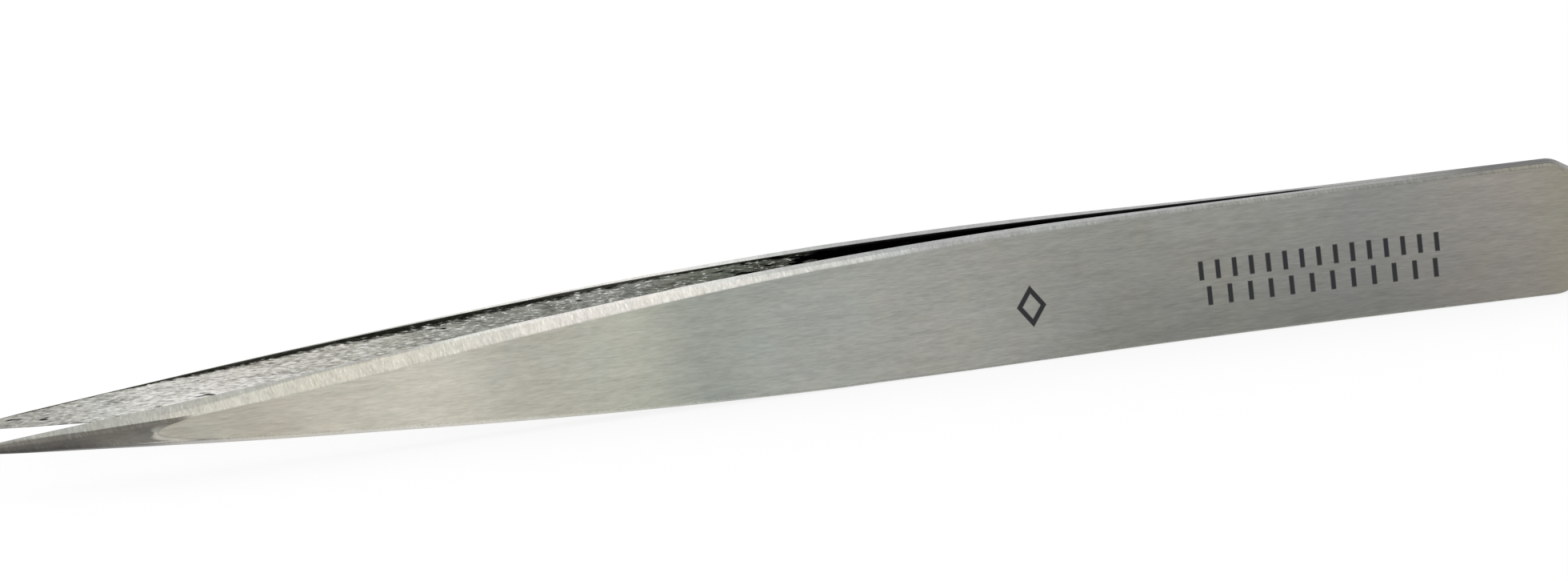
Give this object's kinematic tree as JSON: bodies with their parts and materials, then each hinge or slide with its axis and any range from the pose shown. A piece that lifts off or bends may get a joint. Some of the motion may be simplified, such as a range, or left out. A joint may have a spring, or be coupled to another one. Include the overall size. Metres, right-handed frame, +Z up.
{
  "type": "fine tweezers",
  "caption": "Fine-point steel hand tweezers: slim legs welded face to face at the tail, spreading and then turning in to needle-like ground tips.",
  "frame": {"origin": "under the middle of the overall length, on the surface the tweezers lie on, midway between the legs", "axes": "+X from the tips towards the welded tail, +Y from the front leg towards the rear leg, which is the way the legs open, +Z up"},
  "size_m": [0.121, 0.011, 0.01],
  "materials": {
    "satin_steel": "satin, fine lengthwise brushing"
  },
  "bodies": {
    "root": {"front_leg": "satin_steel", "rear_leg": "satin_steel"}
  },
  "joints": []
}
